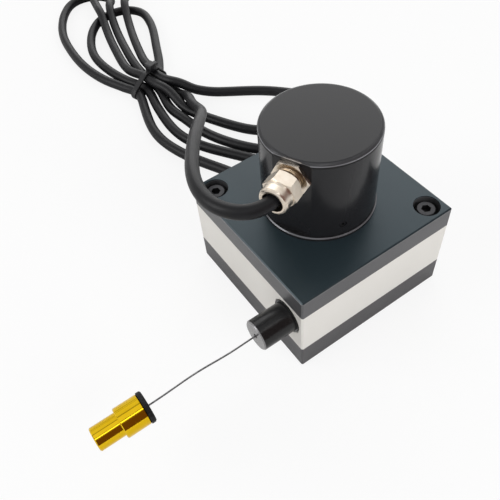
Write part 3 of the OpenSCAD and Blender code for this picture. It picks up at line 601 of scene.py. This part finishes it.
head_half, head_up, head_side = (2.6 * MM, 2.2 * MM), 3.9 * MM, 3.6 * MM
head_low = float(band[:, 1].max()) - 0.3 * MM
rim, soft = 0.5 * MM, 0.15 * MM
tiers = [(rim, 0), (soft, soft), (0, rim), (0, head_up - rim), (soft, head_up - soft), (rim, head_up)]
head_grid = np.stack([
    np.insert(rounded(head_half[1] - inset, head_half[0] - inset, 0.8 * MM), 1, head_low + rise, axis=1)
    for inset, rise in tiers
])
head_grid[..., 0] += head_side
tie_head = surface("cable_tie_head", upright(head_grid), nylon)

tail_low, tail_reach = head_low + 1.8 * MM, np.linspace(4, 0, 8)
tail_line = np.stack([tail_reach, 0.06 * tail_reach**1.4], 1) * MM
tail_grid = np.stack([
    np.insert(section + (tail_low + rise, 0), 0, head_side + reach, axis=1) for reach, rise in tail_line
])
tie_tail = surface("cable_tie_tail", upright(tail_grid), nylon)
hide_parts("cable_tie")
for piece in (strap, tie_head, tie_tail):
    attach(piece, "housing")

# ---- Base plate and its screws ----
# A milled aluminium plate, hard anodised dark grey, with blind tapped holes underneath. Two
# black oxide socket head screws come up through it into the frame.

dark = Finish("dark_anodised", tint(84, 84, 86), 0.4, Metallic=0.55)
marks = dark.noise(dark.at((60, 60, 5200)), 1.0, 4.0, 0.65)
cloud = dark.noise(dark.at(), 60, 3.0)
dark.vary({
    "Base Color": dark.mixed(cloud, tint(78, 77, 79), tint(94, 93, 95)),
    "Roughness": marks * 0.2 + 0.3,
})
dark.relief(marks, 0.00003)
dark.on("base_plate")

oxide = Finish("black_oxide", tint(58, 58, 60), 0.36, Metallic=0.8)
oxide.relief(oxide.noise(oxide.at(), 2500, 4.0), 0.00003)
oxide.on("base_screws", "housing_screws", "drum_set_screws", "cap_screws")

# ---- Housing frame ----
# A square ring of natural aluminium, bead blasted and clear anodised to a soft warm silver.
# Screws through the two plates hold it at its corners.

silver = Finish("silver_anodised", tint(222, 219, 214), 0.5, Metallic=0.35)
fine = silver.noise(silver.at(), 4200, 3.0)
cloud = silver.noise(silver.at((1, 1, 0.4)), 45, 3.0)
silver.vary({
    "Base Color": silver.mixed(cloud, tint(224, 221, 215), tint(235, 232, 227)),
    "Roughness": fine * 0.14 + 0.42,
})
silver.relief(fine, 0.00003)
silver.on("housing_frame")

# ---- Spring motor ----
# A flat blued steel strip, wound in a pressed case, pulls on an arbor under the drum. Its inner
# end is bent into the arbor's slot, and its first turn goes round with the arbor. The case,
# the arbor, the shafts, the bearings and the small screws are of bright steel.

bright = Finish("bright_steel", (0.62, 0.62, 0.63, 1), 0.28, Metallic=1.0)
x, y, z = bright.parts(bright.at())
turned = bright.line(x.beside(y) + z, 9000)
bright.vary({"Roughness": turned * 0.18 + 0.18})
bright.relief(turned, 0.00002)
bright.on("spring_case", "spring_case_cover", "spring_arbor")
bright.on("drum_shaft", "encoder_shaft", "flange_screws", "board_screws")
for bearing in ("lower_bearing", "upper_bearing"):
    bright.on(f"{bearing}_outer_ring", f"{bearing}_balls", f"{bearing}_inner_ring")
bright.on("encoder_bearing_outer_rings", "encoder_bearing_balls", "encoder_bearing_inner_rings")

blue = Finish("spring_steel", tint(92, 96, 108), 0.3, Metallic=1.0)
heat = blue.noise(blue.at(), 160, 2.0)
blue.vary({"Base Color": blue.mixed(heat, tint(84, 90, 108), tint(118, 112, 104))})
blue.relief(blue.noise(blue.at((400, 400, 9000)), 1.0), 0.00002)

spring_low, spring_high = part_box("power_spring")
strip_t, arbor_gap, spring_turns, hook_turns = 0.3 * MM, 0.5 * MM, 9, 0.9
points_a_turn, crowding, slot_turn = 48, 0.8, 0.012
inner_r, outer_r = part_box("spring_arbor")[1].x + arbor_gap, spring_high.x - strip_t
middle = (spring_low.z + spring_high.z) / 2
ribbon = rounded(strip_t / 2, (spring_high.z - spring_low.z) / 2, 0.1 * MM, 3)


def spiral(first, last):
    """The spring's centre line from one count of turns to another. Its radius grows with the
    share of turns to a power below 1, so that they lie closer together towards the outside."""
    turn = np.linspace(first, last, round((last - first) * points_a_turn) + 1)
    radius = inner_r + strip_t / 2 + (outer_r - inner_r) * (turn / spring_turns) ** crowding
    angle = 2 * math.pi * turn
    return np.stack([radius * np.cos(angle), radius * np.sin(angle), np.full_like(turn, middle)], 1)


slot_radii = np.array([4.4, 5, 5.6]) * MM
hook_end = np.array([(radius, -strip_t / 2, middle) for radius in slot_radii])
hook = surface("spring_hook", carry(np.vstack([hook_end, spiral(slot_turn, hook_turns)]), ribbon), blue)
strip = surface("spring_strip", carry(spiral(hook_turns, spring_turns), ribbon), blue)
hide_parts("power_spring")
for piece, body in ((hook, "drum"), (strip, "housing")):
    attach(piece, body)

# ---- Wire drum ----
# A turned aluminium drum between two flanges. Seven turns of wire rope lie on it side by
# side, and the last one leaves it at a tangent, on the nozzle's line. The turns carry the
# first few millimetres of that line with them, so that nothing crosses them as they turn.

alloy = Finish("turned_aluminium", (0.76, 0.76, 0.75, 1), 0.32, Metallic=1.0)
x, y, z = alloy.parts(alloy.at())
turned = alloy.line(x.beside(y) + z * 0.7, 7000)
alloy.vary({"Roughness": turned * 0.2 + 0.22})
alloy.relief(turned, 0.00003)
alloy.on("wire_drum", "disc_hub")

rope = Finish("stainless_rope", (0.26, 0.26, 0.27, 1), 0.32, Metallic=1.0)
rub = rope.noise(rope.at(), 1800, 3.0)
rope.vary({
    "Base Color": rope.mixed(rub.ramp(0.35, 0.7), (0.17, 0.17, 0.18, 1), (0.32, 0.32, 0.32, 1)),
    "Roughness": rub * 0.25 + 0.2,
})
rope.relief(rub, 0.00001)

turn_length, pitch, wraps, wire_r = 150 * MM, 0.8 * MM, 7, 0.3 * MM
drum_r = turn_length / (2 * math.pi)
turn = np.linspace(0, wraps, wraps * 72 + 1)
spin = 2 * math.pi * turn[:, None]
leave_z, leave_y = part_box("wire_winding")[1].z - wire_r, -5.5 * MM
helix = np.hstack([drum_r * np.cos(spin), drum_r * np.sin(spin), leave_z - pitch * turn[:, None]])
tangent = np.array([(drum_r, y, leave_z) for y in np.linspace(leave_y, 0, 8)[:-1]])
winding = surface("wire_turns", carry(np.vstack([tangent, helix]), circle(wire_r, 10)), rope)
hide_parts("wire_winding")
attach(winding, "drum")

# ---- Nozzle ----
# A turned steel nozzle, blackened, stands in a spot face. A ceramic bush inside guides the
# wire and a felt ring wipes it.

nozzle_low, nozzle_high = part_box("wire_nozzle")
wire_x, wire_z, tip_y = drum_r, (nozzle_low.z + nozzle_high.z) / 2, nozzle_low.y
nozzle = Finish("black_nozzle", tint(18, 18, 19), 0.3, **{"Specular IOR Level": 0.34})
x, y, z = nozzle.parts(nozzle.at(centre=(wire_x, 0, wire_z)))
rings = nozzle.line(x.beside(z) + y, 8000)
turned_face = 1 - y.ramp(tip_y + 0.3 * MM, tip_y + 0.42 * MM)
blacked = nozzle.mixed(rings, tint(14, 14, 15), tint(26, 26, 27))
bare = nozzle.mixed(rings, tint(120, 119, 120), tint(160, 159, 160))
nozzle.vary({
    "Base Color": nozzle.mixed(turned_face, blacked, bare),
    "Metallic": turned_face * 0.8,
    "Roughness": rings * 0.12 + 0.16,
})
nozzle.relief(rings, 0.00003)
nozzle.on("wire_nozzle")

glaze = Finish("white_ceramic", tint(238, 234, 222), 0.2)
glaze.relief(glaze.noise(glaze.at(), 2200), 0.00001)
glaze.on("nozzle_guide_bush")
felt = Finish("grey_felt", tint(96, 90, 82), 0.95)
fibre = felt.noise(felt.at(), 6000, 5.0, 0.8)
felt.vary({"Base Color": felt.mixed(fibre, tint(70, 66, 60), tint(132, 126, 116))})
felt.relief(fibre, 0.0002)
felt.on("dust_wiper")

# ---- Draw wire ----
# Stainless wire rope, 0.6 mm: six strands laid round a seventh. One end is on the drum, the
# other in the end fitting, and the length between them changes as the fitting is pulled.

strand_r, lay_length, free_run = 0.1 * MM, 5 * MM, 40 * MM
bow, ripple, sway = 0.75 * MM, 0.2 * MM, 0.25 * MM
bend_y, end_depth = -22 * MM, 6 * MM
fitting_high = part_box("wire_end_fitting")[1]
knots = np.array([
    (wire_x, leave_y, leave_z), (wire_x, 1.1 * leave_y, leave_z), (wire_x, bend_y, wire_z),
    (wire_x, fitting_high.y - end_depth, wire_z),
])
core_line, stops = spaced(knots, 420)
phase = math.pi * np.clip((tip_y - core_line[:, 1]) / free_run, 0, 1)
core_line[:, 2] += bow * np.sin(phase) ** 2 - ripple * np.sin(2 * phase) ** 2
core_line[:, 0] += sway * np.sin(2 * phase) * np.sin(phase)
strands, outer_strands = [], 6
for i in range(outer_strands + 1):
    twist = 2 * math.pi * (stops / lay_length + i / outer_strands)
    offset = 2 * strand_r * (i < outer_strands)
    centres = core_line + offset * np.stack([np.cos(twist), 0 * twist, np.sin(twist)], 1)
    strands.append(surface(f"strand_{i}", carry(centres, circle(strand_r, 6), (1, 0, 0)), rope))
wire = strands[-1]
with bpy.context.temp_override(active_object=wire, selected_editable_objects=strands):
    bpy.ops.object.join()
wire.name = "draw_wire_rope"
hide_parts("draw_wire")
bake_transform(wire)

# ---- Stop buffer ----
# A black rubber washer on the wire, against the end fitting, softens the stop at the nozzle.
# The gasket under the cap and the gland's seal are of the same rubber.

rubber = Finish("black_rubber", tint(16, 16, 17), 0.6, **{"Specular IOR Level": 0.25})
dust = rubber.noise(rubber.at(), 700, 4.0, 0.6)
dusted = rubber.mixed(dust.ramp(0.45, 0.7), tint(14, 14, 15), tint(34, 34, 35))
rubber.vary({"Base Color": dusted})
rubber.relief(dust, 0.00004)
rubber.on("stop_buffer", "cap_gasket", "gland_seal")

# ---- End fitting ----
# Turned brass with a bright gold plate: a wide grip, a narrower neck and an M4 thread in its
# end. The wire is held inside by a crimped copper ferrule.

gold = Finish("gold_plate", tint(232, 190, 24), 0.12, Metallic=1.0)
x, y, z = gold.parts(gold.at(centre=(wire_x, 0, wire_z)))
lathe = gold.line(y + x.beside(z), 6000)
haze = gold.noise(gold.at(), 220, 3.0)
gold.vary({
    "Base Color": gold.mixed(haze, tint(228, 182, 16), tint(238, 200, 40)),
    "Roughness": lathe * 0.05 + 0.08,
})
gold.relief(lathe, 0.000002)
gold.on("wire_end_fitting")
copper = Finish("crimped_copper", tint(196, 122, 86), 0.3, Metallic=1.0)
copper.relief(copper.noise(copper.at(), 1600, 3.0), 0.00006)
copper.on("wire_ferrule")

# ---- Top plate ----
# The same blank as the base, anodised black with a faint blue-green cast, and counterbored
# at two corners for the socket head screws.

black_plate = Finish("blue_black_anodised", tint(34, 44, 50), 0.34, Metallic=0.35)
hush = black_plate.noise(black_plate.at(), 3600, 3.0)
cloud = black_plate.noise(black_plate.at(), 40, 3.0)
plate_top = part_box("top_plate")[1].z
face_from, edge_from, blur = plate_top - 0.5 * MM, plate_top - 0.75 * MM, 0.15 * MM
up_plate = black_plate.parts(black_plate.at())[2]
face = up_plate.ramp(face_from, face_from + blur)
# A pale line along the sides just under the top chamfer is a painted highlight.
edge_highlight = up_plate.ramp(edge_from, edge_from + blur) * (1 - face)
side_paint = black_plate.mixed(cloud, tint(76, 76, 78), tint(92, 92, 94))
face_paint = black_plate.mixed(cloud, tint(38, 51, 57), tint(47, 60, 66))
side_and_edge_highlight = black_plate.mixed(edge_highlight * 0.8, side_paint, tint(128, 127, 129))
black_plate.vary({
    "Base Color": black_plate.mixed(face, side_and_edge_highlight, face_paint),
    "Roughness": hush * 0.12 + 0.28,
})
black_plate.relief(hush, 0.00002)
black_plate.on("top_plate")

# ---- Encoder ----
# A flange and a deep drawn cap with a gasket between them. Both are painted satin black under
# a clear coat, with painted highlights and painted shade in thin lines round the cap's top rim
# and a painted highlight round the flange's top rim. Inside, the shaft runs in two bearings.

satin = Finish("satin_black", tint(32, 32, 34), 0.3, **{
    "Specular IOR Level": 0.16, "Coat Weight": 0.3, "Coat Roughness": 0.16, "Coat IOR": 1.3,
})
peel = satin.noise(satin.at(), 1500, 3.0)
up = satin.parts(satin.at())[2]
cap_top, collar_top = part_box("encoder_cap")[1].z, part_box("cap_gasket")[0].z


def band(low, high, blur):
    """1 where the surface lies between two heights, fading over a little at each of them."""
    return up.ramp(low - blur, low) * (1 - up.ramp(high, high + blur))


# Painted light round the cap's rounded top rim: a paler band at its top and a bright line a little
# lower are painted highlights, and a dark line under them is painted shade. A fainter bright line round
# the flange's top rim is a painted highlight too.
crown_highlight = band(cap_top - 0.6 * MM, cap_top - 0.1 * MM, 0.1 * MM)
rim_shade_line = band(cap_top - 1.5 * MM, cap_top - 1.02 * MM, 0.12 * MM)
rim_and_flange_highlight = (band(cap_top - 0.9 * MM, cap_top - 0.72 * MM, 0.12 * MM)
          + band(collar_top - 0.35 * MM, collar_top, 0.1 * MM) * 0.6)
paint_with_crown_highlight = satin.mixed(crown_highlight, tint(32, 32, 34), tint(58, 58, 60))
paint_with_rim_shade = satin.mixed(rim_shade_line, paint_with_crown_highlight, tint(12, 12, 13))
satin.vary({
    "Base Color": satin.mixed(rim_and_flange_highlight, paint_with_rim_shade, tint(128, 128, 132)),
    "Metallic": rim_and_flange_highlight * 0.5,
    "Roughness": peel * 0.06 + 0.18 + rim_shade_line * 0.3,
})
satin.relief(peel, 0.000004)
satin.on("encoder_flange", "encoder_cap")

# ---- Code disc ----
# A thin disc of glass with a track of fine dark lines printed near its rim. It stands on the
# turned hub of the encoder's shaft.

glass, ink = (0.75, 0.8, 0.82, 1), (0.03, 0.03, 0.03, 1)
track_in, track_out, blur, line_count = 10.2 * MM, 11.8 * MM, 0.1 * MM, 256
code = Finish("code_disc", glass, 0.08, Metallic=0.3)
x, y, _ = code.parts(code.at())
radius = x.beside(y)
line = (x.angle(y) * line_count).wave().ramp(-0.05, 0.05)
track = radius.ramp(track_in, track_in + blur) * (1 - radius.ramp(track_out, track_out + blur))
code.vary({"Base Color": code.mixed(line * track, glass, ink)})
code.on("code_disc")

# ---- Sensor head, board and socket ----
# A moulded head reads the disc's lines at its rim. A circuit board on three posts, with copper
# tracks under a green lacquer, carries a cream socket for the cable's cores.

moulded = Finish("black_moulding", tint(34, 34, 36), 0.5)
moulded.relief(moulded.noise(moulded.at(), 2600, 3.0), 0.00004)
moulded.on("sensor_head")
cream = Finish("cream_moulding", tint(232, 228, 214), 0.45)
cream.relief(cream.noise(cream.at(), 2600, 3.0), 0.00003)
cream.on("board_socket")
green = Finish("board_green", tint(24, 92, 52), 0.35)
x, y, _ = green.parts(green.at())
tracks = (x * 2400).wave().ramp(0.55, 0.7) * (y * 500).wave().ramp(-0.2, 0.0)
green.vary({"Base Color": green.mixed(tracks, tint(24, 92, 52), tint(44, 128, 78))})
green.relief(tracks, 0.00003)
green.on("circuit_board")

# ---- Cable gland ----
# Nickel-plated brass: a body with a hexagon flange against the cap's flat, and a hexagon nut
# with a domed tip that squeezes a seal on to the cable.

nickel_mean, nickel_dull, nickel_pale = tint(226, 214, 198), tint(214, 198, 178), tint(238, 230, 218)
nickel = Finish("nickel_plate", nickel_mean, 0.2, Metallic=1.0)
haze = nickel.noise(nickel.at(), 500, 4.0)
tool = nickel.noise(nickel.at(), 2600, 3.0)
nickel.vary({
    "Base Color": nickel.mixed(haze, nickel_dull, nickel_pale),
    "Roughness": haze * 0.1 + tool * 0.06 + 0.23,
})
nickel.relief(tool, 0.000003)
nickel.on("gland_nut", "board_posts")

gland_turn, gland_foot = math.radians(66), (7.46 * MM, -16.76 * MM, 65 * MM)
thread_pitch, thread_r = 1.5 * MM, 4.25 * MM
stub = Finish("nickel_thread", nickel_mean, 0.24, Metallic=1.0)
outward, y, z = stub.parts(stub.at(centre=gland_foot, turn=(0, 0, gland_turn)))
thread = 1 - y.beside(z).ramp(thread_r, thread_r + 0.15 * MM)
ridges = (outward * (2 * math.pi / thread_pitch) + z.angle(y)).wave()
haze = stub.noise(stub.at(), 500, 4.0)
plated = stub.mixed(haze, nickel_dull, nickel_pale)
# The thread is dark brown, partly for bare brass and partly as painted shade between the flange and the
# nut. Along its ridges the colour is paler on the crests and darker in the roots, as painted light and
# shade.
thread_with_painted_shade = stub.mixed(ridges * 0.5 + 0.5, tint(84, 66, 48), tint(196, 176, 150))
stub.vary({
    "Base Color": stub.mixed(thread, plated, thread_with_painted_shade),
    "Roughness": thread * 0.14 + haze * 0.08 + 0.22,
})
stub.relief(ridges * thread, 0.0002)
stub.on("gland_body")
